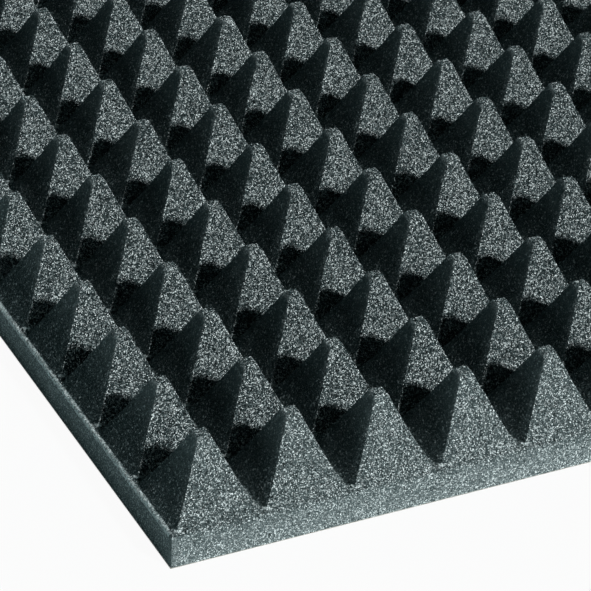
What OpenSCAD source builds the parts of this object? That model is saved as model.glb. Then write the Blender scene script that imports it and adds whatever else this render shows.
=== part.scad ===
// Acoustic foam panel: a square tile of open-cell foam whose face is a field of pyramids with flat tops, and whose
// back carries an adhesive film under a release liner in two halves.
//
// The pyramids aren't separate pieces. A blade with a saw-tooth profile cuts one slab twice, along X and along Y,
// so the foam's height at any point is the lower of two profiles. The foam is therefore the intersection of two
// long extrusions of that profile, laid across each other.
//
// Units are millimetres. The panel lies on its back: +Z is the way the pyramids point, X runs along the front
// edge, and the origin is the middle of the back, on the surface that the panel lies on.

/* [Panel] */
// Width of the panel, along X
panel_w = 500; // [400:10:1000]
// Depth of the panel, along Y
panel_d = 500; // [400:10:1000]
// Thickness of the foam from its back to the tops of the pyramids
foam_t = 50; // [35:1:100]
// Thickness of the slab that stays uncut under the grooves
base_t = 16; // [5:0.5:20]

/* [Pyramids] */
// Columns of pyramids, side by side along X
columns = 12; // [4:1:16]
// Rows of pyramids, one behind the other along Y
rows = 12; // [4:1:16]
// Width of the flat top of a pyramid
tip_w = 6; // [2:0.5:10]
// Width of the flat bottom of a groove
groove_w = 1.2; // [0.2:0.2:5]
// Width of the uncut strip along the left and right edges of the panel
edge_strip = 1.2; // [0.2:0.2:5]
// How hollow the sides of a pyramid are: 1 is straight, and more makes the foot flare into the groove
hollow = 1.15; // [1:0.05:2]
// Flats that make up one hollow side
side_steps = 4; // [1:1:6]

/* [Backing] */
// Thickness of the adhesive film on the back of the foam
film_t = 0.3; // [0.2:0.05:1]
// Thickness of the paper release liner
liner_t = 0.2; // [0.1:0.05:0.5]
// Width of the slit where the two halves of the liner meet
liner_slit = 0.5; // [0.2:0.1:3]

/* [Hidden] */

pyramid_h = foam_t - base_t;
foam_z = liner_t + film_t;
liner_w = (panel_w - liner_slit) / 2;
// How far an extrusion runs past the panel, so that only the crossing one trims it there
overrun = 10;

foam_grey = [0.22, 0.24, 0.25];
film_grey = [0.62, 0.62, 0.59];
liner_white = [0.93, 0.92, 0.88];

// One side of a pyramid, from the edge of the groove's flat bottom to the edge of the flat top. The height grows
// with a power of the distance from the groove, which gives the hollow side that the blade leaves in foam
function side(pitch) = [
    for (step = [0 : side_steps])
        let (share = step / side_steps)
        [(groove_w + share * (pitch - tip_w - groove_w)) / 2, pow(share, hollow) * pyramid_h]
];

// One pyramid's outline, from the bottom of one groove to the bottom of the next
function tooth(pitch) =
    let (rise = side(pitch))
    concat(rise, [for (k = [side_steps : -1 : 0]) [pitch - rise[k].x, rise[k].y]]);

// Profile of the foam across a row of pyramids, centred on 0 and standing on its back, with a strip left at each end
module saw_profile(length, count, strip) {
    pitch = (length - 2 * strip) / count;
    teeth = [
        for (k = [0 : count - 1])
            for (p = tooth(pitch))
                [p.x + k * pitch + strip - length / 2, p.y + base_t]
    ];
    end = [[length / 2, base_t], [length / 2, 0], [-length / 2, 0], [-length / 2, base_t]];
    polygon(concat(teeth, end));
}

// The foam, one piece: its height is the lower of the profile along X and the profile along Y
module foam_panel() {
    color(foam_grey)
    translate([0, 0, foam_z])
    intersection() {
        rotate([90, 0, 0])
        linear_extrude(panel_d + 2 * overrun, center = true)
        saw_profile(panel_w, columns, edge_strip);

        rotate([90, 0, 90])
        linear_extrude(panel_w + 2 * overrun, center = true)
        saw_profile(panel_d, rows, 0);
    }
}

// Sticky film on the foam's back: it holds the panel on a wall or a ceiling. The foam, the film and the liner are
// cut to size together, so their edges are flush
module adhesive_film() {
    color(film_grey)
    translate([0, 0, liner_t + film_t / 2])
    cube([panel_w, panel_d, film_t], center = true);
}

// One half of the release liner, on the side of X that the sign says, as large as the foam's own back
module release_liner(side) {
    color(liner_white)
    translate([side * (liner_slit + liner_w) / 2, 0, liner_t / 2])
    cube([liner_w, panel_d, liner_t], center = true);
}

module release_liner_left() {
    release_liner(-1);
}

module release_liner_right() {
    release_liner(1);
}

foam_panel();
adhesive_film();
release_liner_left();
release_liner_right();
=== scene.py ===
# %% [markdown]
# # Acoustic foam panel
# The object is one tile of anthracite open-cell foam, with twelve rows of twelve flat-topped pyramids cut into its
# face. Its back has a film of adhesive and, over that, a paper liner in two halves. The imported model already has
# every piece at its real size and place, so this lesson is about what it lacks: the soft edges of cut foam, the
# open cells, and a finish for each surface. All sizes are in metres.

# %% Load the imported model
import math

import bpy
from mathutils import Matrix, Vector


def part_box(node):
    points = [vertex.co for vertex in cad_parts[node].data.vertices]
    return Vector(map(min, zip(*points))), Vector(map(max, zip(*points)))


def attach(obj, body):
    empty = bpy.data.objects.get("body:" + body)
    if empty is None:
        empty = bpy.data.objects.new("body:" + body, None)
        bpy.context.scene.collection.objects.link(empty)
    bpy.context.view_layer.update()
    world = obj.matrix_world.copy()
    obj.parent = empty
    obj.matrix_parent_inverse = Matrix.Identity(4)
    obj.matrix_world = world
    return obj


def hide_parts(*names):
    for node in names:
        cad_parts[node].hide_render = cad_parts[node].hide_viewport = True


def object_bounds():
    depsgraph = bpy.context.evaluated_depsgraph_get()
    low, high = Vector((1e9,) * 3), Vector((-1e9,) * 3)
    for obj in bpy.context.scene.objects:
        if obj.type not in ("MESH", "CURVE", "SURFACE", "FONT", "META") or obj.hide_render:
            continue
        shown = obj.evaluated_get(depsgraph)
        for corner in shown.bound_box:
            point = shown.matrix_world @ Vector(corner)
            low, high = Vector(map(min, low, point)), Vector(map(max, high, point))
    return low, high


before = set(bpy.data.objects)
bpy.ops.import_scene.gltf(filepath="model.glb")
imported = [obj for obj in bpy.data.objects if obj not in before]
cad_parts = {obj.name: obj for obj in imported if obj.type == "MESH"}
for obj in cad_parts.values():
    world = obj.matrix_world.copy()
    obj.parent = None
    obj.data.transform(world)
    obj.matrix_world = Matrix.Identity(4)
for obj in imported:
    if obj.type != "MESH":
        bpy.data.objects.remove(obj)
cad_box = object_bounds()
MM = 0.001
print("packed nodes:", sorted(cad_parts))

# %% [markdown]
# ## The camera
# The photograph was taken from far away with a long lens, low over the front left corner, so lines that are parallel
# on the panel stay nearly parallel in the picture. The place, turn, tilt and roll below were fitted to the tops of
# the pyramids and to the panel's edges. The roll is small, but without it the front edge runs at the wrong slope.

# %% Camera
VIEW_FROM = (-0.7180, -1.2434, 0.8294)
VIEW_TURN, VIEW_TILT, VIEW_ROLL = (math.radians(a) for a in (-27.62, 32.22, 3.04))
LENS = 200.3

camera_data = bpy.data.cameras.new("camera")
camera_data.lens = LENS
camera = bpy.data.objects.new("camera", camera_data)
bpy.context.scene.collection.objects.link(camera)
turned = Matrix.Rotation(VIEW_TURN, 4, "Z") @ Matrix.Rotation(math.pi / 2 - VIEW_TILT, 4, "X")
camera.matrix_world = Matrix.Translation(VIEW_FROM) @ turned @ Matrix.Rotation(VIEW_ROLL, 4, "Z")
bpy.context.scene.camera = camera
print("camera", round(Vector(VIEW_FROM).length, 2), "m from the middle of the panel")

# %% [markdown]
# ## Light
# One lamp does the work: it stands in front, a little to the right and fairly high, so the faces towards the viewer
# are lit, the faces on the left are dark, and each pyramid throws its shadow on the foot of the one behind. Its
# angular size sets how soft those shadows end. The world gives a weak fill, and shows as white to the camera.

# %% Lamp and world
KEY_TURN, KEY_TILT = math.radians(23.2), math.radians(38.4)
KEY_STRENGTH = 3.2
KEY_SIZE = math.radians(6)
CARD_PLACE = (0.45, -1.15, 0.06)
CARD_SIZE = (1.0, 0.1)
CARD_POWER = 2.2
SIDE_TURN, SIDE_TILT = math.radians(-75), math.radians(12)
SIDE_STRENGTH = 0.185
SIDE_SIZE = math.radians(40)
BACK_TURN, BACK_TILT = math.radians(165), math.radians(25)
BACK_STRENGTH = 0.45
BACK_SIZE = math.radians(30)
LAMP_WHITE, LAMP_COOL = (1.0, 1.0, 1.0), (0.65, 0.96, 1.0)
FILL_STRENGTH = 0.008
FILL_COLOUR = (0.65, 0.97, 1.0, 1.0)


def far_lamp(name, turn, tilt, strength, size, colour):
    data = bpy.data.lights.new(name, "SUN")
    data.energy = strength
    data.angle = size
    data.color = colour
    lamp = bpy.data.objects.new(name, data)
    bpy.context.scene.collection.objects.link(lamp)
    lamp.matrix_world = Matrix.Rotation(turn, 4, "Z") @ Matrix.Rotation(math.pi / 2 - tilt, 4, "X")


far_lamp("key_lamp", KEY_TURN, KEY_TILT, KEY_STRENGTH, KEY_SIZE, LAMP_WHITE)
far_lamp("side_reflector", SIDE_TURN, SIDE_TILT, SIDE_STRENGTH, SIDE_SIZE, LAMP_COOL)
far_lamp("back_lamp", BACK_TURN, BACK_TILT, BACK_STRENGTH, BACK_SIZE, LAMP_COOL)

card_data = bpy.data.lights.new("white_card", "AREA")
card_data.shape = "RECTANGLE"
card_data.size, card_data.size_y = CARD_SIZE
card_data.energy = CARD_POWER
card = bpy.data.objects.new("white_card", card_data)
bpy.context.scene.collection.objects.link(card)
card.matrix_world = Matrix.Translation(CARD_PLACE) @ Vector(CARD_PLACE).to_track_quat("Z", "Y").to_matrix().to_4x4()
card.visible_camera = False
bpy.context.scene.view_settings.view_transform = "Standard"

# %% [markdown]
# ## Writing a material as sums
# A finish is a small calculation: how far is this point from a cell wall, how bright is this cell. The class below
# wraps a socket, so that such a calculation is written as a Python expression and each sign adds one Math node.
# Every other node comes from one method that takes its type, its settings and what goes into its sockets.

# %% Sockets that add up
class Wire:
    """The output of a node, which can be used in a sum."""

    def __init__(self, finish, socket):
        self.finish = finish
        self.socket = socket

    def math(self, operation, *inputs):
        return self.finish.node("Math", {"operation": operation}, dict(enumerate(inputs)))

    def __add__(self, other):
        return self.math("ADD", self, other)

    def __sub__(self, other):
        return self.math("SUBTRACT", self, other)

    def __rsub__(self, other):
        return self.math("SUBTRACT", other, self)

    def __mul__(self, other):
        return self.math("MULTIPLY", self, other)

    def __truediv__(self, other):
        return self.math("DIVIDE", self, other)

    def __pow__(self, other):
        return self.math("POWER", self, other)

    __radd__ = __add__
    __rmul__ = __mul__

    def ramp(self, start, end):
        """0 below start, 1 above end, and a smooth step between."""
        settings = {"interpolation_type": "SMOOTHSTEP"}
        return self.finish.node("MapRange", settings, {"Value": self, "From Min": start, "From Max": end})

    def mix(self, low, high):
        """The colour low where this is 0, and high where it is 1."""
        settings = {"data_type": "RGBA"}
        return self.finish.node("Mix", settings, {0: self, 6: low, 7: high}, 2)


class Finish:
    """The node tree of a material or of the world, with the shader that it feeds."""

    def __init__(self, owner, shader="Principled BSDF"):
        owner.use_nodes = True
        self.owner = owner
        self.tree = owner.node_tree
        self.shader = self.tree.nodes[shader]

    def feed(self, socket, value):
        if isinstance(value, Wire):
            self.tree.links.new(value.socket, socket)
        else:
            socket.default_value = value

    def node(self, kind, settings=None, inputs=None, out=0):
        made = self.tree.nodes.new("ShaderNode" + kind)
        for name, value in (settings or {}).items():
            if name == "stops":
                self.set_stops(made.color_ramp.elements, value)
            else:
                setattr(made, name, value)
        for name, value in (inputs or {}).items():
            self.feed(made.inputs[name], value)
        return Wire(self, made.outputs[out])

    @staticmethod
    def set_stops(elements, stops):
        while len(elements) < len(stops):
            elements.new(1.0)
        for element, (position, colour) in zip(elements, stops):
            element.position = position
            element.color = colour

    def set(self, **inputs):
        for name, value in inputs.items():
            self.feed(self.shader.inputs[name.replace("_", " ")], value)


# %% [markdown]
# ## Floor and white surroundings
# The floor is a plain white table. To the camera it is nearly all glow, so it reads as white paper, but a share of
# the true surface stays in the mix, and with it the panel's own shadow. To everything else it is a matt white floor
# that throws light back on the panel's sides, as a real table does.

# %% Floor
FLOOR_SIDE = 8.0
FLOOR_GAP = 0.1 * MM
FLOOR_WHITE = (0.45, 0.52, 0.525, 1.0)
WHITE_SHARE = 0.95


def seen_directly(finish):
    """1 where the camera looks, straight or in a mirror or through glass."""
    rays = [finish.node("LightPath", out=name) for name in ("Is Camera Ray", "Is Glossy Ray", "Is Transmission Ray")]
    return rays[0].math("MAXIMUM", rays[0], rays[1].math("MAXIMUM", rays[1], rays[2]))


bpy.ops.object.select_all(action="DESELECT")
bpy.ops.mesh.primitive_plane_add(size=FLOOR_SIDE, location=(0, 0, cad_box[0].z - FLOOR_GAP))
floor = bpy.context.object
floor.name = "floor"
white_table = Finish(bpy.data.materials.new("white_table"))
white_table.set(Base_Color=FLOOR_WHITE, Roughness=0.9)
glow = white_table.node("Emission", None, {"Color": (1, 1, 1, 1), "Strength": 1.0})
matt = Wire(white_table, white_table.shader.outputs[0])
both = white_table.node("MixShader", None, {0: seen_directly(white_table) * WHITE_SHARE, 1: matt, 2: glow})
white_table.feed(white_table.tree.nodes["Material Output"].inputs["Surface"], both)
floor.data.materials.append(white_table.owner)

world = bpy.data.worlds.new("studio")
bpy.context.scene.world = world
sky = Finish(world, "Background")
look = seen_directly(sky)
sky.set(Color=look.mix(FILL_COLOUR, (1, 1, 1, 1)), Strength=look * (1 - FILL_STRENGTH) + FILL_STRENGTH)
print("floor and world made")

# %% [markdown]
# ## The foam's shape
# A blade cuts real foam into pyramids whose sides are slightly hollow, because the foam is squeezed as it is cut.
# We could sculpt that, but it repeats 144 times, so we model one pyramid and let two Array modifiers lay out the
# rest. The pyramid starts as a plane of one pitch at the bottom of the groove. Each inset makes a smaller square
# ring and lifts it, and the rise of each ring follows a power of its run, which is what makes the side hollow.

# %% One pyramid from insets
PYRAMIDS = 12
TIP_WIDTH = 6 * MM
SLAB = 16 * MM
EDGE_STRIP = 1.2 * MM
GROOVE_FLOOR = 0.25 * MM
HOLLOW = 1.15
RINGS = 7
TIP_ROUND, TIP_CROWN = 0.4 * MM, 0.05 * MM
STRIPS = 4

foam_low, foam_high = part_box("foam_panel")
pitch_x = (foam_high.x - foam_low.x - 2 * EDGE_STRIP) / PYRAMIDS
pitch_y = (foam_high.y - foam_low.y) / PYRAMIDS
groove_z = foam_low.z + SLAB
pyramid_h = foam_high.z - groove_z - TIP_CROWN
side_run = (pitch_y - TIP_WIDTH) / 2 - GROOVE_FLOOR
TOUCH = 0.01 * MM


def select_edges(mesh, wanted):
    """In edit mode, selects the edges for which wanted(end, end) is true."""
    bpy.ops.object.mode_set(mode="OBJECT")
    for part in (mesh.polygons, mesh.edges, mesh.vertices):
        part.foreach_set("select", [False] * len(part))
    for edge in mesh.edges:
        ends = [mesh.vertices[v].co for v in edge.vertices]
        edge.select = wanted(*ends)
    bpy.ops.object.mode_set(mode="EDIT")


bpy.ops.object.select_all(action="DESELECT")
first_cell = (foam_low.x + EDGE_STRIP + pitch_x / 2, foam_low.y + pitch_y / 2, groove_z)
bpy.ops.mesh.primitive_plane_add(size=pitch_y, location=first_cell)
foam = bpy.context.object
foam.name = "pyramid_foam"
bpy.ops.object.mode_set(mode="EDIT")
bpy.ops.transform.resize(value=(pitch_x / pitch_y, 1, 1))
bpy.ops.mesh.select_mode(type="EDGE")
bpy.ops.mesh.select_all(action="SELECT")
bpy.ops.mesh.inset(thickness=GROOVE_FLOOR, depth=0)
for ring in range(RINGS):
    rise = pyramid_h * (((ring + 1) / RINGS) ** HOLLOW - (ring / RINGS) ** HOLLOW)
    bpy.ops.mesh.inset(thickness=side_run / RINGS, depth=rise)
bpy.ops.mesh.inset(thickness=TIP_ROUND, depth=TIP_CROWN)
select_edges(foam.data, lambda a, b: abs(a.z - b.z) < TOUCH and min(abs(a.x - b.x), abs(a.y - b.y)) < TOUCH)
bpy.ops.mesh.subdivide(number_cuts=STRIPS - 1)
bpy.ops.object.mode_set(mode="OBJECT")
bpy.ops.object.transform_apply(location=True, rotation=True, scale=True)
print("one pyramid:", len(foam.data.polygons), "faces, pitch", round(pitch_x / MM, 3), "x", round(pitch_y / MM, 3), "mm")

# %% [markdown]
# ## Twelve by twelve
# The two arrays share their border points, so the grooves come out closed. The rim is then extruded down in steps to
# the back of the slab. The step just under the top keeps that edge crisp when the next cell softens the shape.

# %% Array, sides and back
RIM_STEP, BACK_STEP = 2.0 * MM, 1.0 * MM
CORNER_ROUND, RIM_CHAMFER = 1.2 * MM, 1.0 * MM


def apply_modifiers(piece):
    bpy.context.view_layer.objects.active = piece
    for modifier in list(piece.modifiers):
        bpy.ops.object.modifier_apply(modifier=modifier.name)


for axis in range(2):
    bpy.ops.object.modifier_add(type="ARRAY")
    row = foam.modifiers[-1]
    row.count = PYRAMIDS
    row.relative_offset_displace = [float(axis == k) for k in range(3)]
    row.use_merge_vertices = True
    row.merge_threshold = 0.01 * MM
apply_modifiers(foam)

field_edge = foam_high.x - EDGE_STRIP
for side in (-1, 1):
    select_edges(foam.data, lambda a, b: min(side * a.x, side * b.x) > field_edge - TOUCH)
    bpy.ops.transform.translate(value=(side * EDGE_STRIP, 0, 0))
bpy.ops.mesh.select_mode(type="EDGE")
bpy.ops.mesh.select_all(action="DESELECT")
bpy.ops.mesh.select_non_manifold()
for drop in (RIM_STEP, SLAB - RIM_STEP - BACK_STEP, BACK_STEP):
    bpy.ops.mesh.extrude_region_move(TRANSFORM_OT_translate={"value": (0, 0, -drop)})
bpy.ops.mesh.edge_face_add()
bpy.ops.mesh.select_all(action="SELECT")
bpy.ops.mesh.normals_make_consistent(inside=False)


def at_corner(point):
    return min(abs(point.x), abs(point.y)) > foam_high.x - TOUCH


def on_side_rim(a, b):
    """True for the top edge of the left and right sides."""
    return min(abs(a.x), abs(b.x)) > foam_high.x - TOUCH and min(a.z, b.z) > groove_z - TOUCH


select_edges(foam.data, lambda a, b: at_corner(a) and at_corner(b))
bpy.ops.mesh.bevel(offset=CORNER_ROUND, segments=3, affect="EDGES")
select_edges(foam.data, on_side_rim)
bpy.ops.mesh.bevel(offset=RIM_CHAMFER, segments=1, affect="EDGES")
bpy.ops.object.mode_set(mode="OBJECT")
print("panel:", len(foam.data.polygons), "faces")

# %% [markdown]
# ## Softening
# Cut foam has no sharp edge. One level of Subdivision Surface rounds every ridge, and because the strips of a
# pyramid get narrower towards its tip, the foot comes out rounder than the tip, as on the real foam. Creases keep
# what a straight saw cut: the bottom edge, and in part the top edges of the front and rear sides. Lighter creases
# hold the ridges, and the rims of the flat tips stay nearly sharp.

# %% Creases and subdivision
RIDGE_CREASE = 0.4
TIP_CREASE = 0.9
FRONT_CREASE = 0.8


def at_bottom(point):
    return point.z < foam_low.z + TOUCH


def on_ridge(a, b):
    """Ridges climb and run at 45 degrees to both X and Y."""
    run = b - a
    return abs(run.z) > 0.2 * MM and abs(abs(run.x) - abs(run.y)) < TOUCH and abs(run.x) > TOUCH


def on_tip_rim(a, b):
    return abs(a.z - b.z) < TOUCH and abs(a.z - groove_z - pyramid_h) < TOUCH


def on_front_rim(a, b):
    """True for the top edge of the front and rear sides, where the saw cut across the pyramids' feet."""
    return min(abs(a.y), abs(b.y)) > foam_high.y - TOUCH and min(a.z, b.z) > groove_z - TOUCH


select_edges(foam.data, on_ridge)
bpy.ops.transform.edge_crease(value=RIDGE_CREASE)
select_edges(foam.data, on_tip_rim)
bpy.ops.transform.edge_crease(value=TIP_CREASE)

select_edges(foam.data, on_front_rim)
bpy.ops.transform.edge_crease(value=FRONT_CREASE)
select_edges(foam.data, lambda a, b: at_bottom(a) and at_bottom(b))
bpy.ops.transform.edge_crease(value=1)
bpy.ops.object.mode_set(mode="OBJECT")
bpy.ops.object.modifier_add(type="SUBSURF")
foam.modifiers[-1].levels = foam.modifiers[-1].render_levels = 1
apply_modifiers(foam)
print("softened:", sum(len(p.vertices) - 2 for p in foam.data.polygons), "triangles")

# %% [markdown]
# ## Uneven pyramids
# A blade can't cut soft foam evenly, so each pyramid leans a little its own way. A Displace modifier does that with
# a cloud texture much larger than a pyramid, whose red, green and blue push along X, Y and Z. Its weights grow with
# the height above the groove, so the slab keeps its straight sides.

# %% Lean
SWAY = 1.8 * MM
SWAY_GRAIN = 0.07


def displace(piece, name, grain, strength, group, direction="NORMAL"):
    clouds = bpy.data.textures.new(name, "CLOUDS")
    clouds.noise_scale = grain
    clouds.noise_depth = 1
    clouds.cloud_type = "COLOR"
    bpy.ops.object.modifier_add(type="DISPLACE")
    push = piece.modifiers[-1]
    push.texture = clouds
    push.texture_coords = "LOCAL"
    push.direction = direction
    push.strength = strength
    push.vertex_group = group.name
    apply_modifiers(piece)
    piece.vertex_groups.clear()


levels = {}
for vertex in foam.data.vertices:
    levels.setdefault(round(max(vertex.co.z - groove_z, 0) / MM, 1), []).append(vertex.index)
lean = foam.vertex_groups.new(name="lean")
for rise, members in levels.items():
    lean.add(members, rise * MM / pyramid_h, "REPLACE")
displace(foam, "uneven_cut", SWAY_GRAIN, SWAY, lean, "RGB_TO_XYZ")
print("leaned in", len(levels), "levels")

# %% [markdown]
# ## Ragged ridges
# The cut runs through cells, so no ridge is a clean line. A Displace modifier with a fine cloud texture moves the
# surface in and out by a fraction of a millimetre. A vertex group keeps the back and the lower sides where they are.

# %% Displacement
RAGGED = 0.7 * MM
RAGGED_GRAIN = 2.0 * MM

moved = foam.vertex_groups.new(name="cut_face")
moved.add([v.index for v in foam.data.vertices if v.co.z > groove_z - RIM_STEP / 2], 1.0, "REPLACE")
moved.add([v.index for v in foam.data.vertices if v.co.z > foam_high.z - 1.5 * MM], 0.3, "REPLACE")
displace(foam, "torn_cells", RAGGED_GRAIN, RAGGED, moved)
bpy.ops.object.select_all(action="DESELECT")
foam.select_set(True)
bpy.ops.object.shade_smooth_by_angle(angle=math.radians(50))
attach(foam, "root")
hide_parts("foam_panel")

# %% [markdown]
# ## Open cells
# Seen from a step away the foam is a fine glitter. Its cells are under a millimetre, and what is left of their walls
# are thousands of tiny facets that point every way. Where the lamp falls, the facets that happen to mirror it shine
# white, and where it doesn't fall, the foam is a plain deep grey. So the sparkle is made by the normal, not only by
# the colour: a Voronoi pattern gives every cell its own random direction, and that tilts the surface's normal. The
# rest is painted into the colour: a White Noise node gives each cell a brightness that is partly the foam's own
# random tone and partly painted glitter, and the brightest of a coarser pattern of spots are painted glints. Further
# masks paint light and shade into the colour by place and by facing, each marked below.

# %% Foam finish
FACET = 0.37 * MM
FACET_TILT = 2.8
SPOT = 0.7 * MM
FOAM_COLOURS = (
    (0.00, (0.0065, 0.0165, 0.018, 1)),
    (0.16, (0.123, 0.162, 0.165, 1)),
    (0.60, (0.495, 0.570, 0.575, 1)),
    (1.00, (0.840, 0.950, 0.955, 1)),
)

anthracite = Finish(bpy.data.materials.new("anthracite_foam"))
place = anthracite.node("TexCoord", out="Object")
cells = {"Vector": place, "Scale": 1 / FACET, "Randomness": 1.0}
direction = anthracite.node("TexVoronoi", None, cells, "Color")
centre = anthracite.node("TexVoronoi", None, cells, "Position")
chance = anthracite.node("TexWhiteNoise", None, {"Vector": centre}, "Value")
spot_colour = anthracite.node("TexVoronoi", None, {"Vector": place, "Scale": 1 / SPOT}, "Color")
spot = anthracite.node("SeparateColor", None, {"Color": spot_colour}, "Green")
height = anthracite.node("SeparateXYZ", None, {"Vector": place}, "Z")

across = anthracite.node("SeparateXYZ", None, {"Vector": place}, "X")
outward = across.math("ABSOLUTE", across)
# Painted highlight: a pale, spotted band along the top of the left and right sides, where the rounded rim catches
# light.
low = 1 - height.ramp(groove_z + 0.3 * MM, groove_z + 1.2 * MM)
rim_highlight = outward.ramp(foam_high.x - 1.7 * MM, foam_high.x - 1.1 * MM) * low * height.ramp(groove_z - 2.6 * MM, groove_z - 1.2 * MM)
depth = anthracite.node("SeparateXYZ", None, {"Vector": place}, "Y")
# Partly painted light: the first rows take some of the sawn finish, which makes them smoother and also paler, as if
# more light reached them from the open front.
near = 1 - depth.ramp(foam_low.y + 18 * MM, foam_low.y + 40 * MM)
cut_side = 1 - height.ramp(groove_z - 3.5 * MM, groove_z + 1.5 * MM)
sawn_and_front_light = cut_side + (1 - cut_side) * near * 0.45
lengthwise = depth.math("ABSOLUTE", depth)
corner_x = outward.ramp(foam_high.x - 3.6 * MM, foam_high.x - 2.4 * MM)
corner_y = lengthwise.ramp(foam_high.y - 3.6 * MM, foam_high.y - 2.4 * MM)
corner = corner_x * corner_y * cut_side * 0.7
thin = height.ramp(groove_z + 10 * MM, foam_high.z)
facing = anthracite.node("NewGeometry", out="Normal")
left = 0 - anthracite.node("SeparateXYZ", None, {"Vector": facing}, "X")
front = 0 - anthracite.node("SeparateXYZ", None, {"Vector": facing}, "Y")
leftness = left.ramp(0.3, 0.7)
# Painted highlight: the ridges between the front and left faces are lightened, most at their foot, as if they caught
# the light.
ridge = left.ramp(0.22, 0.45) * front.ramp(0.22, 0.45) * (1 - cut_side)
# Painted shade: the left-facing sides of the pyramids get a dark, nearly even colour. Towards the tips it is
# lighter, which is painted light, and a few bright spots stay.
left_face_shade = leftness * (1 - cut_side) * 0.8 * (1 - ridge)
rise = height.ramp(foam_low.z, groove_z)
# Painted light: the flat tips are a fifth paler, which makes up for the lamp falling on them more obliquely than on
# the faces.
topped = height.ramp(foam_high.z - 1.0 * MM, foam_high.z - 0.4 * MM)
# Painted highlight: the brightest few of the coarse spots are glints painted into the colour.
glint = spot.ramp(0.93, 0.96)
torn_and_glint_level = chance ** 6.5 * 1.4 + 0.035 + glint * 0.45
# Painted shade: the slab's left side is made smoother and darker, and darker still at its foot and lighter at its
# top. The front side is made paler at its foot, as the panel's shadow and the floor's bounced light fall.
left_slab_shade = leftness * cut_side * 0.42
sawn_level_with_shade = (((spot * 0.8 + 0.6) * 0.13 + torn_and_glint_level * 0.8) * (1 - left_slab_shade) + left_slab_shade * 0.165) * (1 + (rise - 0.5) * (leftness * 0.7 - 0.3))
lit_level = torn_and_glint_level * (1 - sawn_and_front_light) * (1 + topped * 0.2) + sawn_level_with_shade * sawn_and_front_light
level = (lit_level * (1 - left_face_shade) + left_face_shade * (0.037 + thin * 0.18 + glint * 0.25)) * (1 - corner) + corner * 0.26 + ridge * (1 - thin * 0.8) * (spot * 0.6 + 0.4) + rim_highlight * (1 - corner_y) * (spot ** 2 * 1.6 + 0.3)

tilt = anthracite.node("VectorMath", {"operation": "SUBTRACT"}, {0: direction, 1: (0.5, 0.5, 0.5)})
calm = (1 - sawn_and_front_light * 0.3) * (1 - leftness * 0.3)
steep = anthracite.node("VectorMath", {"operation": "SCALE"}, {0: tilt, "Scale": calm * FACET_TILT})
tilted = anthracite.node("VectorMath", {"operation": "ADD"}, {0: steep, 1: facing})
anthracite.set(
    Base_Color=anthracite.node("ValToRGB", {"stops": FOAM_COLOURS}, {"Fac": level}),
    Roughness=0.9,
    Specular_IOR_Level=0.0,
    Normal=anthracite.node("VectorMath", {"operation": "NORMALIZE"}, {0: tilted}),
)
foam.data.materials.append(anthracite.owner)

# %% [markdown]
# ## Film and liner
# Both are flat sheets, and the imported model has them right, so they only get their finish.

# %% Film and liner finishes
film = Finish(bpy.data.materials.new("tacky_film"))
on_film = film.node("TexCoord", out="Object")
clump = film.node("TexNoise", None, {"Vector": on_film, "Scale": 1 / (6 * MM), "Detail": 3.0}, "Fac")
film.set(
    Base_Color=clump.ramp(0.35, 0.65).mix((0.29, 0.29, 0.26, 1), (0.38, 0.38, 0.35, 1)),
    Roughness=clump * 0.3 + 0.12,
    Normal=film.node("Bump", None, {"Strength": 0.3, "Distance": 0.05 * MM, "Height": clump}),
)

paper = Finish(bpy.data.materials.new("release_paper"))
on_paper = paper.node("TexCoord", out="Object")
drawn = paper.node("Mapping", None, {"Vector": on_paper, "Scale": (1.0, 0.2, 1.0)})
fibre = paper.node("TexNoise", None, {"Vector": drawn, "Scale": 1 / (0.8 * MM), "Detail": 4.0}, "Fac")
cloudy = paper.node("TexNoise", None, {"Vector": on_paper, "Scale": 1 / (25 * MM), "Detail": 2.0}, "Fac")
shade = (fibre.ramp(0.3, 0.7) + cloudy.ramp(0.3, 0.7)) * 0.5
paper.set(
    Base_Color=shade.mix((0.72, 0.71, 0.67, 1), (0.84, 0.83, 0.79, 1)),
    Roughness=fibre * 0.25 + 0.42,
    Normal=paper.node("Bump", None, {"Strength": 0.25, "Distance": 0.05 * MM, "Height": fibre}),
)
for name, finish in {"adhesive_film": film, "release_liner_left": paper, "release_liner_right": paper}.items():
    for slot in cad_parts[name].material_slots:
        slot.material = finish.owner
